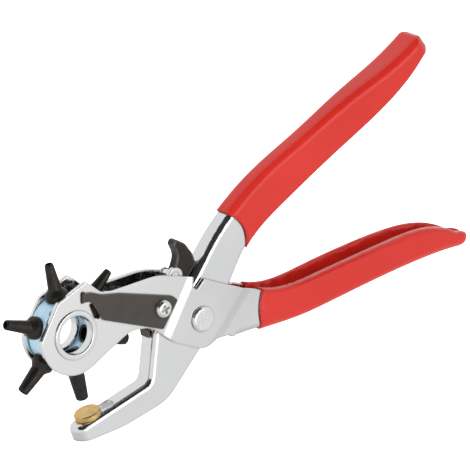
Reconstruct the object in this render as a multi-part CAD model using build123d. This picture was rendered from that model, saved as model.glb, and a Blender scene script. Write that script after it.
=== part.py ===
from build123d import *
import math
import os

# Rotary hole punch for leather: two crossing steel levers, a six-tube punch wheel and a brass anvil.
# The tool stands on edge in the XZ plane. The origin is the centre of the punch wheel's hub on the
# mid-plane, +X points to the handles, +Z is up and -Y is the front side, which carries the index spring.
# Side-view points are (x, z) pairs in millimetres from the main pivot; the finished pieces are moved to
# the hub's origin at the end. "Half" widths are measured from the mid-plane.

# ---- sheet steel levers ----
SHEET = 2.0                      # thickness of both pressed levers
FLAT_RELIEF = 0.05               # air between faces that slide on each other
HEAD_INNER_HALF = 5.6            # inside of the cheeks beside the wheel
PIVOT_INNER_HALF = 6.2           # inside of the cheeks round the main pivot
HANDLE_INNER_HALF = 5.6          # inside of the lower handle's channel where it starts
ANVIL_OUTER_HALF = 5.5           # outside of the anvil lever between the cheeks
BEND_OUTER = 3.0                 # outer bend radius of both channels
BEND_INNER = 0.6                 # inner bend radius of both channels
NOSE_OUTER = 5.2                 # plan radius of the jaw's rounded nose
JOGGLE_WIDTH = 4.2               # width of the sloping band where a cheek steps sideways

# ---- punch wheel ----
WHEEL_CENTRE = (-66.9, 3.5)
TIP_RADIUS = 32.8                # wheel centre to the cutting edges
FIRST_TUBE_ANGLE = 45.7          # angle of the smallest tube at rest, anticlockwise seen from the front
HOLE_SIZES = [2.0, 2.5, 3.0, 3.5, 4.0, 4.5]
TUBE_STEP = 360 / len(HOLE_SIZES)
ACTIVE_TUBE = 4                  # the tube that points at the anvil at rest
DRUM_RADIUS = 16.0
DRUM_HALF = 5.5
DRUM_BORE = 9.95
DRUM_EDGE = 0.6
TUBE_HOLE = 4.0                  # radius of the threaded holes in the drum
TUBE_STEM = 3.95
TUBE_STEM_START = 10.3
COLLAR_RADIUS = 5.1
COLLAR_TOP = 18.4
CONE_TOP = 20.8
SLUG_BORE_LARGEST = 2.7          # wide bore behind the cutting mouth
SLUG_BORE_STEP = 0.6
SLUG_BORE_TOP = 26.0
MOUTH_WALL = 0.75                # wall of a tube at its cutting edge
DETENT_RADIUS = 1.5              # radius of the index notches in the drum's front rim
DETENT_INNER = 12.6              # wheel centre to the inner end of a notch

# ---- wheel bushes ----
BUSH_OUTER = 9.9
BUSH_INNER = 8.6
BUSH_FLANGE = 11.0
BUSH_FLANGE_THICK = 0.8
BUSH_REACH = 1.7                 # how far a bush goes into the drum
CHEEK_HOLE = 9.95

# ---- main pivot ----
RIVET_SHANK = 4.0
RIVET_HEAD = 5.7
RIVET_HEAD_HIGH = 1.7
PIVOT_HOLE = 4.05
SPACER_TUBE_OUTER = 6.0
WASHER_OUTER = 8.0
WASHER_THICK = 0.6

# ---- index spring, its screw and the cheek spacer ----
LEAF_THICK = 1.0
SCREW_PLACE = (-21.6, 8.3)
SCREW_SHANK = 1.95               # M4
SCREW_HOLE = 2.1
SCREW_HEAD = 4.0
SCREW_HEAD_HIGH = 2.5
SCREW_END_HALF = 11.6
RECESS_HALF_LENGTH = 2.1         # cross recess
RECESS_HALF_WIDTH = 0.5
RECESS_DEPTH = 1.5
NUT_ACROSS_FLATS = 7.0
NUT_HIGH = 3.2
CHEEK_SPACER_OUTER = 3.5

# ---- anvil, latch and opening spring ----
CLOSING_ANGLE = 5.6              # handle travel from open to the punch on the anvil
CLOSED_GAP = 0.12                # air left between punch and anvil at the closed limit
ANVIL_RADIUS = 6.0
ANVIL_THICK = 2.5
ANVIL_STEM = 2.0
ANVIL_STEM_HEAD = 2.8
ANVIL_STEM_HEAD_HIGH = 0.9
ANVIL_OUTBOARD = 0.9             # anvil centre beyond the punch centre, along the jaw
WEB_HOLE_RADIUS = 3.4
WEB_HOLE_FROM_ANVIL = 10.0
LATCH_PIVOT = (-12.4, 20.5)
LATCH_HALF = 2.5
LATCH_EDGE = 0.6                 # edge rounding of the latch
LATCH_EAR = 3.8
LATCH_PIN = 1.8
LATCH_PIN_HOLE = 1.85
LATCH_PIN_HEAD = 2.3
LATCH_PIN_HEAD_HIGH = 0.7
FAR_WALL_TOP = 16.4              # top of the anvil lever's rear wall beside the latch
STRIP_THICK = 1.0
STRIP_HALF = 3.0

# ---- grips ----
GRIP_THICK = 1.0
LOWER_LIP = 2.0                  # rounding of each sleeve over its channel's free edges
UPPER_LIP = 1.2
LIP_REACH = 0.8                  # share of the half width where a lip's face is met

# ---- derived places ----
HEAD_OUTER_HALF = HEAD_INNER_HALF + SHEET
PIVOT_OUTER_HALF = PIVOT_INNER_HALF + SHEET
HANDLE_OUTER_HALF = HANDLE_INNER_HALF + SHEET
ANVIL_INNER_HALF = ANVIL_OUTER_HALF - SHEET
ACTIVE_ANGLE = FIRST_TUBE_ANGLE + ACTIVE_TUBE * TUBE_STEP
FAR = 60.0                       # reach of cutting shapes beyond the steel
BESIDE = 1.5                     # an edge further from the mid-plane than this belongs to a side


def polar(centre, radius, angle):
    """Point at a radius and an angle (degrees, anticlockwise from +X) round a side-view centre."""
    turn = math.radians(angle)
    return (centre[0] + radius * math.cos(turn), centre[1] + radius * math.sin(turn))


def shifted(points, direction, amount):
    """Side-view points moved along a direction."""
    return [(x + amount * direction[0], z + amount * direction[1]) for x, z in points]


def rounded(corners):
    """Closed face through (x, z, corner radius) corners."""
    face = Polygon(*[(x, z) for x, z, _ in corners], align=None)
    for x, z, radius in corners:
        if radius > 0:
            corner = face.vertices().sort_by_distance((x, z, 0))[0]
            face = fillet(corner, radius)
    return face


def slab(face, y_low, y_high):
    """Solid with a side-view face as its outline, between two y planes."""
    return Pos(0, y_high, 0) * extrude(Plane.XZ * face, amount=y_high - y_low, dir=(0, -1, 0))


def disc(centre, radius, y_low, y_high):
    """Round bar along Y."""
    return slab(Pos(*centre) * Circle(radius), y_low, y_high)


def both_sides(solid):
    """A solid and its mirror image across the mid-plane."""
    return solid + mirror(solid, about=Plane.XZ)


def joggled_sheet(start, end, inner_before, inner_after):
    """Front cheek sheet that steps sideways along the line start-end, before and after in the +X sense."""
    along = Vector(end[0] - start[0], 0, end[1] - start[1]).normalized()
    across = Vector(-along.Z, 0, along.X)
    plane = Plane(origin=(start[0], 0, start[1]), x_dir=across, z_dir=along)
    knee = JOGGLE_WIDTH
    section = rounded([
        (-FAR, inner_before, 0),
        (0, inner_before, 3),
        (knee, inner_after, 3),
        (2 * FAR, inner_after, 0),
        (2 * FAR, inner_after + SHEET, 0),
        (knee, inner_after + SHEET, 3),
        (0, inner_before + SHEET, 3),
        (-FAR, inner_before + SHEET, 0),
    ])
    return extrude(plane * section, amount=FAR, both=True)


# ---------------------------------------------------------------- anvil position
CLOSED_NORMAL_ANGLE = ACTIVE_ANGLE - 180
OPEN_NORMAL_ANGLE = CLOSED_NORMAL_ANGLE + CLOSING_ANGLE
ANVIL_NORMAL = polar((0, 0), 1, OPEN_NORMAL_ANGLE)
ALONG_JAW = (ANVIL_NORMAL[1], -ANVIL_NORMAL[0])      # unit vector in the jaw's face, towards the pivot
PUNCH_CONTACT = polar(WHEEL_CENTRE, TIP_RADIUS + CLOSED_GAP, ACTIVE_ANGLE)
CONTACT_REACH = math.hypot(*PUNCH_CONTACT)
CONTACT_ANGLE = math.degrees(math.atan2(PUNCH_CONTACT[1], PUNCH_CONTACT[0]))
OPEN_CONTACT = polar((0, 0), CONTACT_REACH, CONTACT_ANGLE + CLOSING_ANGLE)
ANVIL_TOP = shifted([OPEN_CONTACT], ALONG_JAW, -ANVIL_OUTBOARD)[0]
ANVIL_SEAT = shifted([ANVIL_TOP], ANVIL_NORMAL, -ANVIL_THICK)[0]
WEB_HOLE_PLACE = shifted([ANVIL_SEAT], ALONG_JAW, WEB_HOLE_FROM_ANVIL)[0]
JAW_NOSE = shifted([ANVIL_SEAT], ALONG_JAW, -10.0)[0]
JAW_BEND = shifted([ANVIL_SEAT], ALONG_JAW, 31.0)[0]
WEB_TOP = (-23.5, -3.4)


def jaw_plane(place):
    """Plane on the jaw's face, its normal towards the wheel."""
    return Plane(origin=(place[0], 0, place[1]), x_dir=(0, 1, 0), z_dir=(ANVIL_NORMAL[0], 0, ANVIL_NORMAL[1]))


# ---------------------------------------------------------------- channel handles
def width_plan(stations, grow):
    """Symmetric plan outline of a channel, from (distance along, outer half width) stations."""
    side = Spline(*[(along, half + grow) for along, half in stations])
    other = mirror(side, about=Plane.XZ)
    return make_face([side, other, Line(side @ 0, other @ 0), Line(side @ 1, other @ 1)])


def long_edges(solid, web_point):
    """The two long edges of a channel's web, one on each side."""
    x, z = web_point
    picked = []
    for y in (-BESIDE, BESIDE):
        side = solid.edges().filter_by(lambda edge: (edge @ 0.5).Y * y > BESIDE)
        picked.append(side.sort_by_distance((x, y, z))[0])
    return picked


def web_side_face(web, tip_point, to_open):
    """Side view bounded by the web and the lower half of the tip, running on far past the open side."""
    curve = Spline(*web)
    tip = Spline(curve @ 1, tip_point, tangents=(curve % 1, to_open))
    past = shifted([tip_point, web[0]], to_open, 2 * FAR)
    return make_face([curve, tip, Polyline(tip @ 1, *past, curve @ 0)])


def free_side_face(free_edge, tip_point, start, to_open):
    """Side view bounded by the free edge and the upper half of the tip, running on far past the web."""
    curve = Spline(*free_edge)
    to_web = (-to_open[0], -to_open[1])
    tip = Spline(curve @ 1, tip_point, tangents=(curve % 1, to_web))
    past = shifted([tip_point, start], to_web, 2 * FAR)
    return make_face([curve, tip, Polyline(tip @ 1, *past, start, curve @ 0)])


def core_face(web, past_tip, to_open):
    """Side view of the space inside a web, open on the free side and at both ends."""
    floor = Spline(*web, past_tip)
    far = shifted([past_tip, web[0]], to_open, 2 * FAR)
    return make_face([floor, Polyline(floor @ 1, *far, floor @ 0)])


def bent_bar(face, plan_plane, plan, web_point, bend):
    """Bar with a side-view face and a plan outline, rounded along the web's two edges."""
    bar = slab(face, -FAR, FAR) & extrude(plan_plane * plan, amount=3 * FAR, both=True)
    return fillet(long_edges(bar, web_point), bend)


# ---------------------------------------------------------------- lower handle
LOWER_TOP = [(29.5, 8.3), (42.8, 5.9), (64.2, 9.4), (86.9, 14.5), (106.9, 18.3),
             (119.2, 19.5), (131.7, 18.0), (138.6, 15.2)]
LOWER_WEB = [(17.4, -11.5), (34.9, -9.3), (55.1, -6.5), (69.8, -3.0), (99.9, 4.2),
             (116.4, 7.2), (133.2, 9.2), (141, 9.6)]
LOWER_TIP = (145.2, 12.6)
LOWER_PAST_TIP = (152, 11.2)
LOWER_WIDTHS = [(0, HANDLE_OUTER_HALF), (15, HANDLE_OUTER_HALF), (30, HANDLE_OUTER_HALF),
                (65, 8.4), (85, 8.5), (105, 7.9), (120, 6.9), (133, 5.7), (150, 4.2)]
LOWER_OPEN = (0, 1)              # from the web to the free edges
LOWER_GRIP_START = [(33.5, 40), (32.3, 8), (30.8, 0), (32.0, -9), (35, -40)]


def lower_shape(grow):
    """Outside of the lower handle, grown outwards for the sleeve."""
    tip = (LOWER_TIP[0] + grow, LOWER_TIP[1])
    web = shifted(LOWER_WEB, LOWER_OPEN, -grow)
    face = web_side_face(web, tip, LOWER_OPEN)
    plan = width_plan(LOWER_WIDTHS, grow)
    bar = bent_bar(face, Plane.XY, plan, web[len(web) // 2], BEND_OUTER + grow)
    top = shifted(LOWER_TOP, LOWER_OPEN, grow)
    return bar & slab(free_side_face(top, tip, web[0], LOWER_OPEN), -FAR, FAR)


def lower_hollow(depth):
    """Inside of the lower handle, at a depth below its outside."""
    web = shifted(LOWER_WEB, LOWER_OPEN, depth)
    past = shifted([LOWER_PAST_TIP], LOWER_OPEN, depth)[0]
    plan = width_plan(LOWER_WIDTHS, -depth)
    return bent_bar(core_face(web, past, LOWER_OPEN), Plane.XY, plan, web[len(web) // 2], BEND_INNER)


def build_lower_channel():
    return lower_shape(0) - lower_hollow(SHEET)


# ---------------------------------------------------------------- wheel lever
HEAD_RADIUS = 18.0
HEAD_CORNER = (-61.2, 26.5)
JOGGLE_ONE = ((-7.8, 19.4), (-19.2, -1.7))
JOGGLE_TWO = ((20.8, 8.9), (4.6, -11.3))
CHEEK_SPLIT = 1.0                # x where the two joggled parts of a cheek meet
ANCHOR_SLOT_PLACE = (-31.0, 14.5)
ANCHOR_SLOT_SIZE = (3.4, 1.3)


def head_face():
    """Front part of a cheek: the round head, its horn and the arm up to the split."""
    reach = math.hypot(HEAD_CORNER[0] - WHEEL_CENTRE[0], HEAD_CORNER[1] - WHEEL_CENTRE[1])
    horn_angle = math.degrees(math.atan2(HEAD_CORNER[1] - WHEEL_CENTRE[1], HEAD_CORNER[0] - WHEEL_CENTRE[0]))
    tangent = polar(WHEEL_CENTRE, HEAD_RADIUS, horn_angle + math.degrees(math.acos(HEAD_RADIUS / reach)))
    under = polar(WHEEL_CENTRE, HEAD_RADIUS, -64)
    arm = rounded([
        (*tangent, 0),
        (*HEAD_CORNER, 1.6),
        (-53.6, 20.6, 7),
        (-46.5, 19.6, 16),
        (-22.5, 22.7, 30),
        (-4.6, 19.5, 0.7),
        (-5.0, 15.1, 0.8),
        (-3.1, 13.3, 0.8),
        (CHEEK_SPLIT, 17.8, 0),
        (CHEEK_SPLIT, -13.2, 0),
        (-1.6, -13.2, 3),
        (-14.5, -8.4, 14),
        (-27.0, 0.6, 14),
        (-38.0, 0.6, 14),
        (*under, 0),
        (*WHEEL_CENTRE, 0),
    ])
    return arm + Pos(*WHEEL_CENTRE) * Circle(HEAD_RADIUS)


def pivot_face():
    """Rear part of a cheek: from the split to just inside the handle channel."""
    return rounded([
        (CHEEK_SPLIT, 17.8, 0),
        (13, 13.3, 40),
        (23.6, 9.7, 12),
        (29.5, 8.3, 0),
        (31.0, 7.8, 0),
        (20.4, -7.6, 0),
        (17.4, -11.0, 0),
        (14.6, -9.8, 0.8),
        (8.0, -10.4, 5),
        (3.0, -13.2, 6),
        (CHEEK_SPLIT, -13.2, 0),
    ])


def index_window():
    """Slanting window in the front cheek beside the spring's finger, mostly under the leaf."""
    return rounded([
        (-59.8, 16.2, 0.5),
        (-57.0, 9.6, 0.5),
        (-53.6, 8.6, 0.5),
        (-56.4, 16.2, 0.5),
    ])


def build_wheel_lever():
    head_part = slab(head_face(), -FAR, 0) & joggled_sheet(*JOGGLE_ONE, HEAD_INNER_HALF, PIVOT_INNER_HALF)
    pivot_part = slab(pivot_face(), -FAR, 0) & joggled_sheet(*JOGGLE_TWO, PIVOT_INNER_HALF, HANDLE_INNER_HALF)
    lever = both_sides(head_part + pivot_part) + build_lower_channel()
    lever -= disc(WHEEL_CENTRE, CHEEK_HOLE, -FAR, FAR)
    lever -= disc((0, 0), PIVOT_HOLE, -FAR, FAR)
    lever -= disc(SCREW_PLACE, SCREW_HOLE, -FAR, FAR)
    lever -= slab(index_window(), -FAR, 0)
    lever -= finger_box(FINGER_AIR, -FAR, 0)
    slot = Pos(*ANCHOR_SLOT_PLACE) * Rectangle(*ANCHOR_SLOT_SIZE)
    lever -= slab(slot, 0, FAR)
    return lever


# ---------------------------------------------------------------- anvil lever
UPPER_WEB = [(-4.5, 15.8), (0.8, 22.8), (7.6, 32.8), (19.9, 46.2), (32.9, 56.8),
             (57.8, 71.7), (82.7, 86.4), (100.5, 95.7), (116.5, 106.4)]
UPPER_BELLY = [(9, 3), (16, 12.6), (24.6, 27.5), (46.2, 45.6), (69.2, 60.7),
               (92.4, 75.7), (111.4, 91.4), (117.6, 98.6)]
UPPER_TIP = (121.3, 105.2)
UPPER_NOSE = (11.0, 8.4)         # length and half width of the ellipse that rounds the tip in plan
UPPER_WIDTHS = [(-30, 5.5), (25, 5.4), (60, 4.9), (90, 5.0), (110, 5.5), (135, 6.8), (175, 6.9)]
UPPER_ALONG = (0.78, 0.625)      # direction of the handle
UPPER_OPEN = (0.625, -0.78)      # from the web to the free edges, close to square on the web
UPPER_PAST_TIP = (136, 118.0)
UPPER_GRIP_START = [(6, 50), (17.5, 42.8), (24.2, 36.0), (25.6, 25.0), (40, 5)]
UPPER_PLAN = Plane(origin=(0, 0, 0), x_dir=(UPPER_ALONG[0], 0, UPPER_ALONG[1]),
                   z_dir=(-UPPER_OPEN[0], 0, -UPPER_OPEN[1]))


def nose_plan(tip, grow):
    """Plan outline that rounds the end of the upper handle."""
    length, half = UPPER_NOSE
    half += grow
    start = tip[0] * UPPER_ALONG[0] + tip[1] * UPPER_ALONG[1] - length
    return Pos(start, 0) * Ellipse(length, half) + Pos(start - 2 * FAR, 0) * Rectangle(4 * FAR, 2 * half)


def upper_shape(grow):
    """Outside of the upper handle, grown outwards for the sleeve."""
    tip = shifted([UPPER_TIP], UPPER_ALONG, grow)[0]
    web = shifted(UPPER_WEB, UPPER_OPEN, -grow)
    face = web_side_face(web, tip, UPPER_OPEN)
    plan = width_plan(UPPER_WIDTHS, grow)
    bar = bent_bar(face, UPPER_PLAN, plan, web[len(web) // 2], BEND_OUTER + grow)
    belly = shifted(UPPER_BELLY, UPPER_OPEN, grow)
    bar &= slab(free_side_face(belly, tip, web[0], UPPER_OPEN), -FAR, FAR)
    return bar & extrude(UPPER_PLAN * nose_plan(tip, grow), amount=3 * FAR, both=True)


def upper_hollow(depth):
    """Inside of the upper handle, at a depth below its outside."""
    before = (UPPER_WEB[0][0] - 4, UPPER_WEB[0][1] - 4.55)
    web = shifted([before] + UPPER_WEB, UPPER_OPEN, depth)
    past = shifted([UPPER_PAST_TIP], UPPER_OPEN, depth)[0]
    plan = width_plan(UPPER_WIDTHS, -depth)
    return bent_bar(core_face(web, past, UPPER_OPEN), UPPER_PLAN, plan, web[len(web) // 2], BEND_INNER)


def build_upper_channel():
    return upper_shape(0) - upper_hollow(SHEET)


def pivot_wall_face(top):
    """Side view of one wall of the anvil lever between the cheeks, up to a height beside the latch."""
    return rounded([
        (*WEB_TOP, 0),
        (-22.6, 0.6, 2),
        (-16.3, 4.6, 2),
        (-16.2, top, 0),
        (-8.6, top, 0),
        (-7.6, 15.0, 0),
        (*UPPER_WEB[0], 0),
        (*UPPER_BELLY[0], 0),
        (8.4, WEB_TOP[1], 0),
    ])


def jaw_face():
    """Side view of the jaw, from the web top down to the nose."""
    return rounded([
        (*WEB_TOP, 0),
        (8.4, WEB_TOP[1], 0),
        (1.2, -13.4, 30),
        (-16.6, -34.4, 22),
        (-39.5, -42.3, 60),
        (-63.0, -46.4, 1.5),
        (*JAW_NOSE, 1.0),
        (*JAW_BEND, 4.0),
    ])


def jaw_core():
    """Side view of the space behind the jaw's web, closed at the nose by one sheet thickness."""
    nose = shifted([JAW_NOSE], ALONG_JAW, SHEET)[0]
    nose = shifted([nose], ANVIL_NORMAL, -SHEET)[0]
    bend = shifted([JAW_BEND], (0.9, -0.72), SHEET)[0]
    top = (WEB_TOP[0] + SHEET, WEB_TOP[1])
    below = shifted([nose], ANVIL_NORMAL, -FAR)[0]
    return rounded([
        (top[0], top[1] + 5, 0),
        (FAR, top[1] + 5, 0),
        (FAR, -FAR, 0),
        (*below, 0),
        (*nose, 0),
        (*bend, 2.0),
        (*top, 0),
    ])


JAW_REACH = 110.0                # longer than the jaw, for its plan outline


def jaw_plan(half, nose, nose_radius):
    """Prism square to the jaw's face with a rounded nose."""
    outline = Pos(0, -JAW_REACH / 2) * RectangleRounded(2 * half, JAW_REACH, nose_radius)
    return extrude(jaw_plane(nose) * outline, amount=2 * FAR, both=True)


def web_rim(solid, path, nose):
    """Edges all round a jaw's web: both sides and the nose, without the lines that cross the web."""
    rim = []
    for edge in solid.edges():
        middle = edge @ 0.5
        crosses = abs((edge % 0.5).Y) > 0.9 and abs(middle.Y) < 0.1 and middle.X > nose[0] + 1
        if path.distance_to(Vertex(middle.X, middle.Z, 0)) < 0.02 and not crosses:
            rim.append(edge)
    return rim


def build_jaw():
    """The jaw: a channel whose walls run round its nose."""
    outer_path = FilletPolyline(JAW_NOSE, JAW_BEND, WEB_TOP, radius=4.0)
    block = slab(jaw_face(), -ANVIL_OUTER_HALF, ANVIL_OUTER_HALF)
    block = block & jaw_plan(ANVIL_OUTER_HALF, JAW_NOSE, NOSE_OUTER)
    block = fillet(web_rim(block, outer_path, JAW_NOSE), BEND_OUTER - 0.2)
    inner_nose = shifted([JAW_NOSE], ALONG_JAW, SHEET)[0]
    core = slab(jaw_core(), -ANVIL_INNER_HALF, ANVIL_INNER_HALF)
    core = core & jaw_plan(ANVIL_INNER_HALF, inner_nose, NOSE_OUTER - SHEET)
    return block - core


def build_anvil_lever():
    ear = Pos(*LATCH_PIVOT) * Circle(LATCH_EAR)
    near_wall = slab(pivot_wall_face(LATCH_PIVOT[1]) + ear, -ANVIL_OUTER_HALF, -ANVIL_INNER_HALF)
    far_wall = slab(pivot_wall_face(FAR_WALL_TOP), ANVIL_INNER_HALF, ANVIL_OUTER_HALF)
    lever = near_wall + far_wall + build_upper_channel() + build_jaw()
    lever -= disc((0, 0), PIVOT_HOLE, -FAR, FAR)
    lever -= disc(LATCH_PIVOT, LATCH_PIN_HOLE, -FAR, FAR)
    lever -= extrude(jaw_plane(ANVIL_SEAT) * Circle(ANVIL_STEM), amount=-SHEET - 1)
    lever -= extrude(jaw_plane(WEB_HOLE_PLACE) * Circle(WEB_HOLE_RADIUS), amount=-SHEET - 1)
    return lever


# ---------------------------------------------------------------- grips
def round_lips(shell, outer_half, free_point, radius):
    """Sleeve with its two free edges rounded on the outside, found beside a side-view point on them."""
    lips = []
    for y in (-outer_half, outer_half):
        free_face = shell.faces().sort_by_distance((free_point[0], LIP_REACH * y, free_point[1]))[0]
        longest = free_face.edges().sort_by(SortBy.LENGTH)[-2:]
        lips.append(max(longest, key=lambda edge: abs((edge @ 0.5).Y)))
    return fillet(lips, radius)


def cut_sleeve(shell, start_line, past):
    """Sleeve cut off along its start line."""
    keep = make_face([Spline(*start_line), Polyline(start_line[-1], *past, start_line[0])])
    return shell & slab(keep, -FAR, FAR)


def build_lower_grip(steel):
    """Dip-moulded sleeve over the lower handle, open along its top."""
    shell = lower_shape(GRIP_THICK) - lower_hollow(SHEET + GRIP_THICK)
    on_top = shifted([LOWER_TOP[3]], LOWER_OPEN, GRIP_THICK)[0]
    shell = round_lips(shell, LOWER_WIDTHS[4][1], on_top, LOWER_LIP)
    return cut_sleeve(shell, LOWER_GRIP_START, [(220, -40), (220, 40)]) - steel


def build_upper_grip(steel):
    """Dip-moulded sleeve over the upper handle, open along its underside."""
    shell = upper_shape(GRIP_THICK) - upper_hollow(SHEET + GRIP_THICK)
    on_belly = shifted([UPPER_BELLY[4]], UPPER_OPEN, GRIP_THICK)[0]
    shell = round_lips(shell, UPPER_WIDTHS[2][1], on_belly, UPPER_LIP)
    return cut_sleeve(shell, UPPER_GRIP_START, [(220, 5), (220, 180), (6, 180)]) - steel


# ---------------------------------------------------------------- main pivot
def rivet_head(centre, radius, high, base_half):
    """Low domed head on the front side."""
    head = disc(centre, radius, -base_half - high, -base_half)
    rim = head.edges().filter_by(lambda edge: abs((edge @ 0.5).Y + base_half + high) < 0.01)
    return fillet(rim, 0.75 * high)


def build_main_rivet():
    shank = disc((0, 0), RIVET_SHANK, -PIVOT_OUTER_HALF, PIVOT_OUTER_HALF)
    head = rivet_head((0, 0), RIVET_HEAD, RIVET_HEAD_HIGH, PIVOT_OUTER_HALF)
    return shank + both_sides(head)


def ring(centre, outer, inner, y_low, y_high):
    """Round tube along Y."""
    return disc(centre, outer, y_low, y_high) - disc(centre, inner, y_low, y_high)


def build_pivot_spacer_tube():
    half = ANVIL_INNER_HALF - FLAT_RELIEF
    return ring((0, 0), SPACER_TUBE_OUTER, PIVOT_HOLE, -half, half)


def build_pivot_washers():
    near = ANVIL_OUTER_HALF + FLAT_RELIEF
    return both_sides(ring((0, 0), WASHER_OUTER, PIVOT_HOLE, -near - WASHER_THICK, -near))


# ---------------------------------------------------------------- wheel, tubes and bushes
def radial_plane(angle):
    """Plane through the wheel centre whose normal points out along a wheel angle."""
    out = polar((0, 0), 1, angle)
    return Plane(origin=(WHEEL_CENTRE[0], 0, WHEEL_CENTRE[1]), x_dir=(0, 1, 0), z_dir=(out[0], 0, out[1]))


def build_punch_wheel():
    drum = disc(WHEEL_CENTRE, DRUM_RADIUS, -DRUM_HALF, DRUM_HALF)
    drum = chamfer(drum.edges().filter_by(GeomType.CIRCLE), DRUM_EDGE)
    drum -= disc(WHEEL_CENTRE, DRUM_BORE, -DRUM_HALF, DRUM_HALF)
    for index in range(len(HOLE_SIZES)):
        angle = FIRST_TUBE_ANGLE + index * TUBE_STEP
        drum -= extrude(radial_plane(angle) * Circle(TUBE_HOLE), amount=DRUM_RADIUS + 2)
        notch = radial_plane(angle + TUBE_STEP / 2) * Pos(-DRUM_HALF, 0) * Circle(DETENT_RADIUS)
        drum -= extrude(notch, amount=DRUM_RADIUS + 2) - disc(WHEEL_CENTRE, DETENT_INNER, -FAR, FAR)
    return drum


def build_punch_tube(index):
    """Hollow steel punch tube: threaded stem, collar, cone and a tapering barrel with a sharp mouth."""
    hole = HOLE_SIZES[index] / 2
    mouth = hole + MOUTH_WALL
    neck = max(mouth + 0.5, 2.7) + 0.35
    profile = Polyline(
        (0, TUBE_STEM_START),
        (TUBE_STEM, TUBE_STEM_START),
        (TUBE_STEM, DRUM_RADIUS + 0.05),
        (COLLAR_RADIUS, DRUM_RADIUS + 0.05),
        (COLLAR_RADIUS, COLLAR_TOP),
        (neck, CONE_TOP),
        (mouth, TIP_RADIUS - 0.5),
        (hole + 0.3, TIP_RADIUS),
        (0, TIP_RADIUS),
        close=True,
    )
    body = revolve(Plane.XZ * make_face(profile), axis=Axis.Z)
    cutter = Pos(0, 0, SLUG_BORE_TOP) * Cylinder(hole, FAR, align=(Align.CENTER, Align.CENTER, Align.MIN))
    slug_bore = min(SLUG_BORE_LARGEST, hole + SLUG_BORE_STEP)
    slug = Cylinder(slug_bore, SLUG_BORE_TOP, align=(Align.CENTER, Align.CENTER, Align.MIN))
    angle = FIRST_TUBE_ANGLE + index * TUBE_STEP
    return radial_plane(angle).location * (body - cutter - slug)


def build_wheel_bush():
    """Front flanged bush, rolled over the cheek and open through its middle."""
    flange_face = HEAD_OUTER_HALF + BUSH_FLANGE_THICK
    inner_end = DRUM_HALF - BUSH_REACH
    bush = disc(WHEEL_CENTRE, BUSH_OUTER, -HEAD_OUTER_HALF - 0.1, -inner_end)
    flange = disc(WHEEL_CENTRE, BUSH_FLANGE, -flange_face, -HEAD_OUTER_HALF)
    rim = flange.edges().filter_by(lambda edge: abs((edge @ 0.5).Y + flange_face) < 0.01)
    bush += fillet(rim, 0.5)
    bush -= disc(WHEEL_CENTRE, BUSH_INNER, -FAR, FAR)
    mouth = bush.edges().filter_by(GeomType.CIRCLE).filter_by(
        lambda edge: abs((edge @ 0.5).Y + flange_face) < 0.01 and edge.radius < BUSH_INNER + 0.1)
    return fillet(mouth, 0.6)


# ---------------------------------------------------------------- index spring, screw, spacer and nut
FINGER_X = -63.2                 # middle of the bent finger
FINGER_LOW = 17.6
FINGER_TOP = 21.6
FINGER_ENTRY = 1.0               # how far the finger reaches into a notch
FINGER_AIR = 0.4                 # air round the finger in the cheek


def finger_box(air, y_low, y_high):
    """Block along Y where the finger passes through the front cheek."""
    width = LEAF_THICK + 2 * air
    height = FINGER_TOP - FINGER_LOW + 2 * air
    outline = Pos(FINGER_X, (FINGER_LOW + FINGER_TOP) / 2) * Rectangle(width, height)
    return slab(outline, y_low, y_high)


def leaf_face():
    return rounded([
        (-16.2, 13.0, 1.0),
        (-13.4, 10.9, 0.8),
        (-21.0, -1.2, 1.2),
        (-53.0, 8.2, 1.4),
        (-59.4, FINGER_LOW, 1.5),
        (FINGER_X, FINGER_LOW, 0),
        (FINGER_X, FINGER_TOP, 0),
        (-58.4, 21.2, 2),
        (-52.8, 19.4, 6),
        (-43.8, 18.6, 12),
    ])


def build_index_spring():
    near = HEAD_OUTER_HALF + FLAT_RELIEF
    far = near + LEAF_THICK
    plate = slab(leaf_face(), -far, -near)
    plate -= disc(SCREW_PLACE, SCREW_HOLE, -FAR, FAR)
    finger = finger_box(0, -far, -DRUM_HALF + FINGER_ENTRY)
    outer_bend = finger.edges().filter_by(Axis.Z).sort_by(Axis.Y)[:2].sort_by(Axis.X)[0]
    return plate + fillet(outer_bend, 0.9 * LEAF_THICK)


def build_index_screw():
    near = HEAD_OUTER_HALF + FLAT_RELIEF + LEAF_THICK
    head = rivet_head(SCREW_PLACE, SCREW_HEAD, SCREW_HEAD_HIGH, near)
    shank = disc(SCREW_PLACE, SCREW_SHANK, -near, SCREW_END_HALF)
    screw = head + shank
    top = near + SCREW_HEAD_HIGH
    for turn in (20, 110):
        arm = Pos(*SCREW_PLACE) * Rot(0, 0, turn) * Rectangle(2 * RECESS_HALF_LENGTH, 2 * RECESS_HALF_WIDTH)
        screw -= slab(arm, -top - 1, -top + RECESS_DEPTH)
    return screw


def build_index_nut():
    hexagon = Pos(*SCREW_PLACE) * RegularPolygon(NUT_ACROSS_FLATS / 2, 6, major_radius=False)
    nut = slab(hexagon, HEAD_OUTER_HALF + FLAT_RELIEF, HEAD_OUTER_HALF + FLAT_RELIEF + NUT_HIGH)
    return nut - disc(SCREW_PLACE, SCREW_SHANK + 0.05, -FAR, FAR)


def build_cheek_spacer():
    half = HEAD_INNER_HALF - 0.02
    return ring(SCREW_PLACE, CHEEK_SPACER_OUTER, SCREW_HOLE, -half, half)


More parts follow.
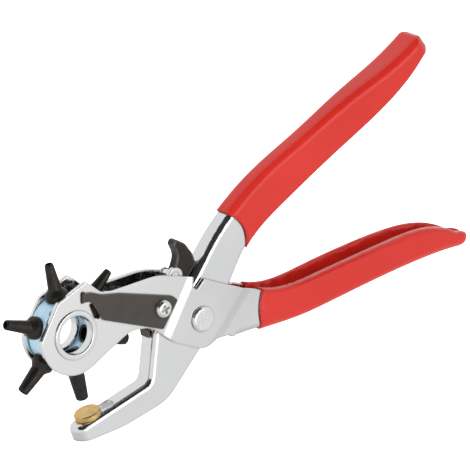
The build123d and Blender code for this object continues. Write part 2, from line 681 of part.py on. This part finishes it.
# ---------------------------------------------------------------- opening spring
def build_opening_spring():
    """Flat strip bent round the cheek spacer: one leg presses on the jaw's web, the other is hooked."""
    wrap = CHEEK_SPACER_OUTER + 0.1 + STRIP_THICK / 2
    start = polar(SCREW_PLACE, wrap, -40)
    top = polar(SCREW_PLACE, wrap, 19)
    end = polar(SCREW_PLACE, wrap, 78)
    foot = (WEB_TOP[0] - 0.85, WEB_TOP[1] - 2.2)
    knee = (WEB_TOP[0] - 1.5, WEB_TOP[1] + 1.0)
    legs = Line(foot, knee) + Line(knee, start)
    legs += ThreePointArc(start, top, end) + Line(end, ANCHOR_SLOT_PLACE)
    strip = slab(trace(legs, line_width=STRIP_THICK), -STRIP_HALF, STRIP_HALF)
    tab_end = HEAD_OUTER_HALF - 0.4
    tab = slab(Pos(*ANCHOR_SLOT_PLACE) * Rectangle(2.6, STRIP_THICK - 0.1), 0, tab_end)
    return strip + tab


# ---------------------------------------------------------------- latch and anvil
def build_latch():
    """Shark-fin thumb latch behind the anvil lever's ear."""
    outline = rounded([
        (-11.3, 33.4, 1.2),
        (-10.2, 36.2, 1.6),
        (-4.8, 33.2, 5),
        (-1.2, 28.6, 5),
        (1.0, 23.2, 0.8),
        (-5.2, 15.9, 1.0),
        (-8.6, 16.2, 0),
        (-13.0, 16.4, 2.5),
        (-16.6, 19.0, 1.5),
        (-10.6, 22.4, 3),
        (-8.6, 28.2, 6),
    ])
    plate = slab(outline, -LATCH_HALF, LATCH_HALF)
    rims = plate.edges().filter_by(lambda edge: abs(abs((edge @ 0.5).Y) - LATCH_HALF) < 0.01)
    plate = fillet(rims, LATCH_EDGE)
    return plate - disc(LATCH_PIVOT, LATCH_PIN_HOLE, -FAR, FAR)


def build_latch_pin():
    """Rivet fixed in the ear, its head behind the latch."""
    head_from = LATCH_HALF + FLAT_RELIEF
    shank = disc(LATCH_PIVOT, LATCH_PIN, -ANVIL_OUTER_HALF, head_from)
    return shank + disc(LATCH_PIVOT, LATCH_PIN_HEAD, head_from, head_from + LATCH_PIN_HEAD_HIGH)


def build_anvil():
    seat = jaw_plane(ANVIL_SEAT)
    pad = extrude(seat * Circle(ANVIL_RADIUS), amount=ANVIL_THICK)
    rim = pad.edges().filter_by(GeomType.CIRCLE)
    pad = chamfer(rim, 0.35)
    stem = extrude(seat * Circle(ANVIL_STEM), amount=-SHEET - 0.1)
    under = jaw_plane(shifted([ANVIL_SEAT], ANVIL_NORMAL, -SHEET)[0])
    return pad + stem + extrude(under * Circle(ANVIL_STEM_HEAD), amount=-ANVIL_STEM_HEAD_HIGH)


# ---------------------------------------------------------------- all nodes
def build_nodes():
    wheel_lever = build_wheel_lever()
    anvil_lever = build_anvil_lever()
    bush = build_wheel_bush()
    nodes = {
        "wheel_lever": wheel_lever,
        "anvil_lever": anvil_lever,
        "lower_grip": build_lower_grip(wheel_lever),
        "upper_grip": build_upper_grip(anvil_lever),
        "main_pivot_rivet": build_main_rivet(),
        "pivot_spacer_tube": build_pivot_spacer_tube(),
        "pivot_washers": build_pivot_washers(),
        "punch_wheel": build_punch_wheel(),
        "wheel_bush_front": bush,
        "wheel_bush_rear": mirror(bush, about=Plane.XZ),
        "index_spring": build_index_spring(),
        "index_spring_screw": build_index_screw(),
        "index_spring_nut": build_index_nut(),
        "cheek_spacer": build_cheek_spacer(),
        "opening_spring": build_opening_spring(),
        "locking_latch": build_latch(),
        "latch_pin": build_latch_pin(),
        "anvil": build_anvil(),
    }
    for index, size in enumerate(HOLE_SIZES):
        nodes["punch_tube_" + f"{size:.1f}".replace(".", "_") + "mm"] = build_punch_tube(index)
    return nodes


os.makedirs("parts", exist_ok=True)
for name, shape in build_nodes().items():
    export_step(Pos(-WHEEL_CENTRE[0], 0, -WHEEL_CENTRE[1]) * shape, f"parts/{name}.step")
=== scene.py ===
import math

import bmesh
import bpy
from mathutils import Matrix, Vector

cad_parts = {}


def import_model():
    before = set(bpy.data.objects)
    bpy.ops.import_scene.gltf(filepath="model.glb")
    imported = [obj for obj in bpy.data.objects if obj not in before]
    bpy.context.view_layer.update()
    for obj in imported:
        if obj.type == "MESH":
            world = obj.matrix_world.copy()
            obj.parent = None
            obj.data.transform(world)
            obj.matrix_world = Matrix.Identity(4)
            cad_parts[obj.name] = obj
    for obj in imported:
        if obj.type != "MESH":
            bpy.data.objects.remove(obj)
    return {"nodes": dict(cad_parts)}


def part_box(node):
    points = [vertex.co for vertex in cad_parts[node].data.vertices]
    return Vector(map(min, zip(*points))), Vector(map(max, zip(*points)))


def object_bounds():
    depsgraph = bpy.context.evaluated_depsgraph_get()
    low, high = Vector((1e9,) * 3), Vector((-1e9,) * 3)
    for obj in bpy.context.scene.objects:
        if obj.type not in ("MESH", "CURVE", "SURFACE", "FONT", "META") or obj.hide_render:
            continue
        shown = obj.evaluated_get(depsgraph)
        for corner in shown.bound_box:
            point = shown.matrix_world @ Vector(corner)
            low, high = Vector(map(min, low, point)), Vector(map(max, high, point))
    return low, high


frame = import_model()
cad_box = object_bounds()

MM = 0.001               # one millimetre in the scene's metres
NODES = frame["nodes"]

# Sockets of a mix node, which has one pair of inputs for each kind of value.
FACTOR = 0
NUMBER_A, NUMBER_B, NUMBER_OUT = 2, 3, 0
COLOUR_A, COLOUR_B, COLOUR_OUT = 6, 7, 2


# ---------------------------------------------------------------- node helpers
class Shader:
    """A material's node tree with short calls for the nodes the finishes share."""

    def __init__(self, name):
        self.material = bpy.data.materials.new(name)
        self.material.use_nodes = True
        self.tree = self.material.node_tree
        self.surface = self.tree.nodes["Principled BSDF"]
        self.place = self.add("ShaderNodeTexCoord").outputs["Object"]

    def add(self, kind, **values):
        """New node with its settings."""
        node = self.tree.nodes.new(kind)
        for key, value in values.items():
            setattr(node, key, value)
        return node

    def link(self, source, target):
        self.tree.links.new(source, target)

    def set(self, **values):
        """Fixed values of the surface; a socket's spaces are written as underscores."""
        for key, value in values.items():
            self.surface.inputs[key.replace("_", " ")].default_value = value

    def stretched(self, scale):
        """Object coordinates scaled along each axis."""
        mapping = self.add("ShaderNodeMapping")
        mapping.inputs["Scale"].default_value = scale
        self.link(self.place, mapping.inputs["Vector"])
        return mapping.outputs["Vector"]

    def noise(self, scale, detail=3.0, roughness=0.5, stretch=None):
        node = self.add("ShaderNodeTexNoise")
        node.inputs["Scale"].default_value = scale
        node.inputs["Detail"].default_value = detail
        node.inputs["Roughness"].default_value = roughness
        self.link(self.stretched(stretch) if stretch else self.place, node.inputs["Vector"])
        return node.outputs["Fac"]

    def span(self, value, low, high, start=0.3, stop=0.7):
        """Carries start..stop over to low..high. The defaults are where noise mostly lies."""
        node = self.add("ShaderNodeMapRange")
        node.inputs["From Min"].default_value = start
        node.inputs["From Max"].default_value = stop
        node.inputs["To Min"].default_value = low
        node.inputs["To Max"].default_value = high
        self.link(value, node.inputs["Value"])
        return node.outputs["Result"]

    def mix(self, share, colour_a, colour_b):
        """Blend of two colours, each one a tuple or another node's output."""
        node = self.add("ShaderNodeMix", data_type="RGBA")
        for socket, colour in ((node.inputs[COLOUR_A], colour_a), (node.inputs[COLOUR_B], colour_b)):
            if isinstance(colour, tuple):
                socket.default_value = (*colour, 1.0)
            else:
                self.link(colour, socket)
        self.link(share, node.inputs[FACTOR])
        return node.outputs[COLOUR_OUT]

    def bump(self, height, distance, strength, normal=None):
        """Surface relief, on top of another normal where one is given."""
        node = self.add("ShaderNodeBump")
        node.inputs["Distance"].default_value = distance
        node.inputs["Strength"].default_value = strength
        self.link(height, node.inputs["Height"])
        if normal is not None:
            self.link(normal, node.inputs["Normal"])
        return node.outputs["Normal"]

    def rounded_normal(self, radius, samples=6):
        """Normal that turns gently across bends and edges."""
        node = self.add("ShaderNodeBevel", samples=samples)
        node.inputs["Radius"].default_value = radius
        return node.outputs["Normal"]

    def edge_share(self, radius, low=0.004, high=0.06):
        """1 on sharp edges, 0 on flats: how far a rounded normal leans from the true one."""
        rounded = self.rounded_normal(radius, samples=4)
        geometry = self.add("ShaderNodeNewGeometry")
        dot = self.add("ShaderNodeVectorMath", operation="DOT_PRODUCT")
        self.link(rounded, dot.inputs[0])
        self.link(geometry.outputs["Normal"], dot.inputs[1])
        return self.span(dot.outputs["Value"], 1.0, 0.0, 1.0 - high, 1.0 - low)

    def seam(self, reach, low=0.35, high=0.85):
        """0 deep in a gap or a corner, 1 in the open."""
        occlusion = self.add("ShaderNodeAmbientOcclusion", samples=6)
        occlusion.inputs["Distance"].default_value = reach
        return self.span(occlusion.outputs["AO"], 0.0, 1.0, low, high)

    def along(self, axis):
        """Place along one axis of the frame."""
        node = self.add("ShaderNodeSeparateXYZ")
        self.link(self.place, node.inputs["Vector"])
        return node.outputs[axis]

    def radius_from_hub(self):
        """Distance from the wheel's axis, which is the frame's Y axis."""
        flat = self.add("ShaderNodeVectorMath", operation="MULTIPLY")
        self.link(self.place, flat.inputs[0])
        flat.inputs[1].default_value = (1.0, 0.0, 1.0)
        length = self.add("ShaderNodeVectorMath", operation="LENGTH")
        self.link(flat.outputs["Vector"], length.inputs[0])
        return length.outputs["Value"]

    def product(self, one, two):
        node = self.add("ShaderNodeMath", operation="MULTIPLY")
        self.link(one, node.inputs[0])
        self.link(two, node.inputs[1])
        return node.outputs["Value"]

    def colour(self, value):
        self.link(value, self.surface.inputs["Base Color"])

    def rough(self, value):
        self.link(value, self.surface.inputs["Roughness"])

    def normal(self, value):
        self.link(value, self.surface.inputs["Normal"])


# ---------------------------------------------------------------- finishes
HANDLE_SHADE_SPAN = (-10 * MM, 90 * MM)          # along X, where the wheel lever's plate is painted darker towards its handle: painted shade
SHADE_RING_INNER = 11.0 * MM                  # wheel's axis to where the painted shade on the drum's front face begins
SHADE_RING_BLEND = 0.8 * MM
SHADE_RING_DEPTH = (0.15 * MM, 0.25 * MM)     # below the drum's front face, where the painted shade fades out


def scaled(colour, share):
    """A colour made darker."""
    return tuple(share * c for c in colour)


def bright_steel(name, tint=(0.87, 0.875, 0.885), rough=(0.07, 0.13), dents=0.0, bend=1.2 * MM, seam_shade=0.40,
                 shaded_tint=None):
    """Polished chrome on pressed sheet: slow waviness, faint polishing lines, a little haze, painted shade in
    seams and corners.
    """
    s = Shader(name)
    s.set(Metallic=1.0)
    haze = s.noise(60, 4.0, roughness=0.6)
    # Painted shade: where a shaded tint is given, the plate is painted darker along X towards the handle.
    plate = s.mix(s.span(s.along("X"), 0.0, 1.0, *HANDLE_SHADE_SPAN), tint, shaded_tint) if shaded_tint else tint
    slow = s.mix(s.span(s.noise(14, 1.0), 0.0, 0.10), plate, (0.0, 0.0, 0.0))
    unshaded = s.mix(s.span(haze, 0.0, 0.5), slow, scaled(tint, 0.88))
    # Painted shade: the colour is darkened in seams, gaps and corners, found by ambient occlusion.
    s.colour(s.mix(s.seam(1.4 * MM), scaled(tint, seam_shade), unshaded))
    s.rough(s.span(haze, *rough))
    wave = s.bump(s.noise(26, 1.0), 1.2 * MM, 0.42, s.rounded_normal(bend))
    if dents:
        wave = s.bump(s.noise(420, 2.0), 0.3 * MM, dents, wave)
    lines = s.noise(900, 2.0, stretch=(0.12, 1.0, 1.0))
    s.normal(s.bump(lines, 0.04 * MM, 0.10, wave))
    return s.material


def red_pvc():
    """Glossy dip-moulded PVC: clear skin over a slightly mottled red, with a faint orange-peel."""
    s = Shader("red_pvc")
    s.set(IOR=1.48, Specular_IOR_Level=0.26, Coat_Weight=0.30, Coat_Roughness=0.04)
    s.colour(s.mix(s.span(s.noise(22, 2.0), 0.0, 1.0), (0.475, 0.018, 0.011), (0.435, 0.015, 0.009)))
    s.rough(s.span(s.noise(160, 3.0), 0.16, 0.24))
    soft = s.bump(s.noise(45, 1.5), 0.8 * MM, 0.14, s.rounded_normal(2.2 * MM))
    s.normal(s.bump(s.noise(900, 2.0), 0.04 * MM, 0.06, soft))
    return s.material


def black_oxide(name, dark, light, rough, cloudy, highlight_radius=0.5 * MM):
    """Oiled black oxide on steel, cloudy in tone, painted browner and brighter along its edges as a painted
    highlight.
    """
    s = Shader(name)
    s.set(Metallic=0.75)
    cloud = s.mix(s.span(s.noise(240, 4.0), 0.0, cloudy), dark, light)
    # Painted highlight: edges are painted in the lighter colour, broken up by noise.
    edge_highlight = s.product(s.edge_share(highlight_radius), s.span(s.noise(900, 3.0), 0.35, 1.0))
    s.colour(s.mix(edge_highlight, cloud, light))
    s.rough(s.span(s.noise(500, 3.0), *rough))
    s.normal(s.bump(s.noise(2600, 3.0), 0.05 * MM, 0.25))
    return s.material


def blue_drum():
    """Pale blue passivated zinc with a soft milled grain; its front face beyond the hub is painted near black
    as painted shade.
    """
    s = Shader("blue_drum")
    s.set(Metallic=0.35)
    zinc = s.mix(s.span(s.noise(180, 4.0), 0.0, 1.0), (0.48, 0.66, 0.79), (0.38, 0.57, 0.70))
    # Painted shade: the drum's front face beyond the hub is painted near black.
    front_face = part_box("punch_wheel")[0][1]
    front = s.span(s.along("Y"), 1.0, 0.0, front_face + SHADE_RING_DEPTH[0], front_face + SHADE_RING_DEPTH[1])
    ring = s.span(s.radius_from_hub(), 0.0, 1.0, SHADE_RING_INNER, SHADE_RING_INNER + SHADE_RING_BLEND)
    shade_ring = s.product(front, ring)
    s.colour(s.mix(shade_ring, zinc, (0.022, 0.019, 0.017)))
    s.rough(s.span(s.noise(420, 3.0), 0.30, 0.45))
    s.normal(s.bump(s.noise(1500, 2.0, stretch=(1.0, 0.15, 1.0)), 0.05 * MM, 0.3))
    return s.material


def brass():
    """Turned brass whose top is crossed by fine scratches from the punches."""
    s = Shader("brass")
    s.set(Metallic=1.0)
    s.colour(s.mix(s.span(s.noise(300, 4.0), 0.0, 1.0), (0.80, 0.56, 0.22), (0.62, 0.42, 0.15)))
    s.rough(s.span(s.noise(700, 3.0), 0.22, 0.40))
    one = s.noise(1500, 2.0, stretch=(0.05, 1.0, 1.0))
    two = s.noise(1700, 2.0, stretch=(1.0, 0.06, 1.0))
    s.normal(s.bump(two, 0.1 * MM, 0.35, s.bump(one, 0.1 * MM, 0.35)))
    return s.material


def give(material, *names):
    """Assigns a finish to CAD nodes."""
    for name in names:
        slots = NODES[name].data.materials
        slots.clear()
        slots.append(material)


def finish_nodes():
    """One finish per kind of piece."""
    # Painted shade: the wheel lever's plate is painted darker towards its handle.
    lever_steel = bright_steel("wheel_lever_steel", tint=(0.98, 0.98, 0.985), shaded_tint=(0.77, 0.775, 0.78))
    give(lever_steel, "wheel_lever")
    give(bright_steel("anvil_lever_steel", bend=1.0 * MM), "anvil_lever")
    bush_steel = bright_steel("bush_steel", tint=(0.93, 0.93, 0.93), rough=(0.12, 0.2), bend=0.5 * MM)
    give(bush_steel, "wheel_bush_front", "wheel_bush_rear")
    # Lighter painted shade in the seams of the zinc fasteners.
    zinc = bright_steel("zinc_fastener", tint=(0.92, 0.92, 0.91), rough=(0.16, 0.3), dents=0.2, bend=0.6 * MM,
                        seam_shade=0.80)
    give(zinc, "index_spring_screw", "index_spring_nut", "latch_pin")
    hammered = bright_steel("hammered_rivet", tint=(0.92, 0.92, 0.92), rough=(0.14, 0.26), dents=0.8)
    give(hammered, "main_pivot_rivet")
    turned_steel = bright_steel("plain_steel", tint=(0.55, 0.55, 0.56), rough=(0.3, 0.4))
    give(turned_steel, "pivot_spacer_tube", "pivot_washers", "cheek_spacer")
    give(red_pvc(), *MOULDED)
    tube_black = black_oxide("black_oxide", dark=(0.020, 0.018, 0.016), light=(0.060, 0.052, 0.045),
                             rough=(0.30, 0.46), cloudy=0.4)
    give(tube_black, *[name for name in NODES if name.startswith("punch_tube")])
    spring_black = black_oxide("black_spring", dark=(0.068, 0.060, 0.054), light=(0.16, 0.15, 0.14),
                               rough=(0.30, 0.38), cloudy=0.1)
    give(spring_black, "index_spring", "opening_spring")
    # The latch's painted edge highlight is wider and lighter.
    latch_black = black_oxide("black_latch", dark=(0.026, 0.023, 0.020), light=(0.26, 0.25, 0.24),
                              rough=(0.22, 0.34), cloudy=0.05, highlight_radius=1.2 * MM)
    give(latch_black, "locking_latch")
    give(blue_drum(), "punch_wheel")
    give(brass(), "anvil")


# ---------------------------------------------------------------- smoothing and edges
MOULDED = ("lower_grip", "upper_grip")   # no sharp machined edges: only smoothed
EDGE_ROUND = 0.18 * MM
EDGE_SEGMENTS = 2
EDGE_ANGLE = math.radians(32)            # an edge sharper than this is rounded
FLAT_ANGLE = math.radians(0.03)          # faces closer than this to one plane are joined
WELD_GAP = 0.002 * MM


def smoothing():
    """Modifier tree that shades every face smooth; the weighted normals keep the flats flat."""
    group = bpy.data.node_groups.new("smooth_faces", "GeometryNodeTree")
    group.interface.new_socket("Geometry", in_out="INPUT", socket_type="NodeSocketGeometry")
    group.interface.new_socket("Geometry", in_out="OUTPUT", socket_type="NodeSocketGeometry")
    start = group.nodes.new("NodeGroupInput")
    smooth = group.nodes.new("GeometryNodeSetShadeSmooth")
    end = group.nodes.new("NodeGroupOutput")
    group.links.new(start.outputs[0], smooth.inputs["Geometry"])
    group.links.new(smooth.outputs["Geometry"], end.inputs[0])
    return group


def round_edges():
    """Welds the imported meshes, clears flat faces of inner edges and gives every sharp edge a small round."""
    smooth_faces = smoothing()
    for name, node in NODES.items():
        weld = node.modifiers.new("weld", "WELD")
        weld.merge_threshold = WELD_GAP
        if name not in MOULDED:
            flat = node.modifiers.new("flat", "DECIMATE")
            flat.decimate_type = "DISSOLVE"
            flat.angle_limit = FLAT_ANGLE
            edge = node.modifiers.new("edge", "BEVEL")
            edge.width = EDGE_ROUND
            edge.segments = EDGE_SEGMENTS
            edge.limit_method = "ANGLE"
            edge.angle_limit = EDGE_ANGLE
        smooth = node.modifiers.new("smooth", "NODES")
        smooth.node_group = smooth_faces
        normals = node.modifiers.new("normals", "WEIGHTED_NORMAL")
        normals.keep_sharp = False
        normals.weight = 100


# ---------------------------------------------------------------- stage, light and camera
VIEW_AZIMUTH = math.radians(-36.0)
VIEW_ELEVATION = math.radians(15.3)
VIEW_DISTANCE = 8.0
FRAME_WIDTH = 203.5 * MM                 # seen across the picture at the tool
PIVOT_OFFSET_RIGHT = 18.9 * MM           # from the main rivet to the picture's centre
PIVOT_OFFSET_UP = 34.55 * MM
SENSOR = 36.0
CLIP_END = 20.0
FLOOR_HALF = 20.0
FLOOR_GAP = 0.2 * MM
FLOOR_GLOW = 0.8
FLOOR_WHITE = ((0.90, 0.90, 0.90), (0.88, 0.88, 0.88))


def middle(name):
    """Centre of a CAD node's box."""
    low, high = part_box(name)
    return (Vector(low) + Vector(high)) / 2


def camera():
    """Long lens at the photograph's viewing angle."""
    a, e = VIEW_AZIMUTH, VIEW_ELEVATION
    back = Vector((math.sin(a) * math.cos(e), -math.cos(a) * math.cos(e), math.sin(e)))
    right = Vector((math.cos(a), math.sin(a), 0))
    up = back.cross(right)
    target = middle("main_pivot_rivet") + PIVOT_OFFSET_RIGHT * right + PIVOT_OFFSET_UP * up
    data = bpy.data.cameras.new("camera")
    data.sensor_width = SENSOR
    data.lens = SENSOR * VIEW_DISTANCE / FRAME_WIDTH
    data.clip_end = CLIP_END
    view = bpy.data.objects.new("camera", data)
    view.location = target + VIEW_DISTANCE * back
    view.rotation_euler = back.to_track_quat("Z", "Y").to_euler()
    bpy.context.scene.collection.objects.link(view)
    bpy.context.scene.camera = view


def area_light(name, place, size, power):
    """Soft light turned to the pivot. Polished metal sees the cards, not this light."""
    data = bpy.data.lights.new(name, "AREA")
    data.shape = "RECTANGLE"
    data.size, data.size_y = size
    data.energy = power
    light = bpy.data.objects.new(name, data)
    light.location = place
    light.rotation_euler = (Vector(place) - middle("main_pivot_rivet")).to_track_quat("Z", "Y").to_euler()
    light.visible_glossy = False
    bpy.context.scene.collection.objects.link(light)


def floor():
    """Plain near-white floor. Polished metal sees the studio below the horizon instead of it."""
    mesh = bpy.data.meshes.new("floor")
    grid = bmesh.new()
    bmesh.ops.create_grid(grid, x_segments=2, y_segments=2, size=FLOOR_HALF)
    grid.to_mesh(mesh)
    grid.free()
    ground = bpy.data.objects.new("floor", mesh)
    ground.location = (0, 0, cad_box[0][2] - FLOOR_GAP)
    ground.visible_glossy = False
    bpy.context.scene.collection.objects.link(ground)
    s = Shader("floor_paper")
    s.colour(s.mix(s.span(s.noise(9, 2.0), 0.0, 1.0), *FLOOR_WHITE))
    s.set(Roughness=0.8, Emission_Color=(1, 1, 1, 1), Emission_Strength=FLOOR_GLOW, Specular_IOR_Level=0.0)
    mesh.materials.append(s.material)


AMBIENT = 0.92                               # what matt surfaces are lit by
SKY = 0.84                                   # what shiny surfaces see between the cards
# Studio cards: direction, inner and outer half angle in degrees, brightness.
# Later cards lie over earlier ones.
CARDS = [
    ((0.0, 0.1, -1.0), 40, 75, 0.62),        # floor seen straight below
    ((0.85, -0.35, -0.40), 12, 34, 0.72),    # low dim card on the right
    ((0.06, -0.97, 0.14), 18, 29, 2.4),      # large soft box at the front
    ((-0.20, 0.25, 0.95), 9, 16, 1.7),       # strip overhead
    ((-0.39, -0.46, 0.76), 44, 48, 0.035),   # dark card above the camera
]


def world():
    """White studio with soft boxes and dark cards, so that polished metal has something to show."""
    surroundings = bpy.data.worlds.new("studio")
    bpy.context.scene.world = surroundings
    surroundings.use_nodes = True
    tree = surroundings.node_tree
    ray = tree.nodes.new("ShaderNodeTexCoord").outputs["Generated"]
    value = None
    for direction, inner, outer, brightness in CARDS:
        dot = tree.nodes.new("ShaderNodeVectorMath")
        dot.operation = "DOT_PRODUCT"
        dot.inputs[1].default_value = Vector(direction).normalized()
        tree.links.new(ray, dot.inputs[0])
        share = tree.nodes.new("ShaderNodeMapRange")
        share.interpolation_type = "SMOOTHSTEP"
        share.inputs["From Min"].default_value = math.cos(math.radians(outer))
        share.inputs["From Max"].default_value = math.cos(math.radians(inner))
        tree.links.new(dot.outputs["Value"], share.inputs["Value"])
        mix = tree.nodes.new("ShaderNodeMix")
        tree.links.new(share.outputs["Result"], mix.inputs[FACTOR])
        if value is None:
            mix.inputs[NUMBER_A].default_value = SKY
        else:
            tree.links.new(value, mix.inputs[NUMBER_A])
        mix.inputs[NUMBER_B].default_value = brightness
        value = mix.outputs[NUMBER_OUT]
    path = tree.nodes.new("ShaderNodeLightPath")
    seen = tree.nodes.new("ShaderNodeMix")
    seen.inputs[NUMBER_A].default_value = AMBIENT
    tree.links.new(path.outputs["Is Glossy Ray"], seen.inputs[FACTOR])
    tree.links.new(value, seen.inputs[NUMBER_B])
    tree.links.new(seen.outputs[NUMBER_OUT], tree.nodes["Background"].inputs["Strength"])
    tree.nodes["Background"].inputs["Color"].default_value = (1, 1, 1, 1)


bpy.context.scene.view_settings.view_transform = "Standard"
finish_nodes()
round_edges()
floor()
world()
camera()
area_light("key", place=(-0.5, -0.9, 1.1), size=(0.9, 0.6), power=9)
area_light("rim", place=(0.9, 0.6, 0.8), size=(0.7, 0.5), power=4)
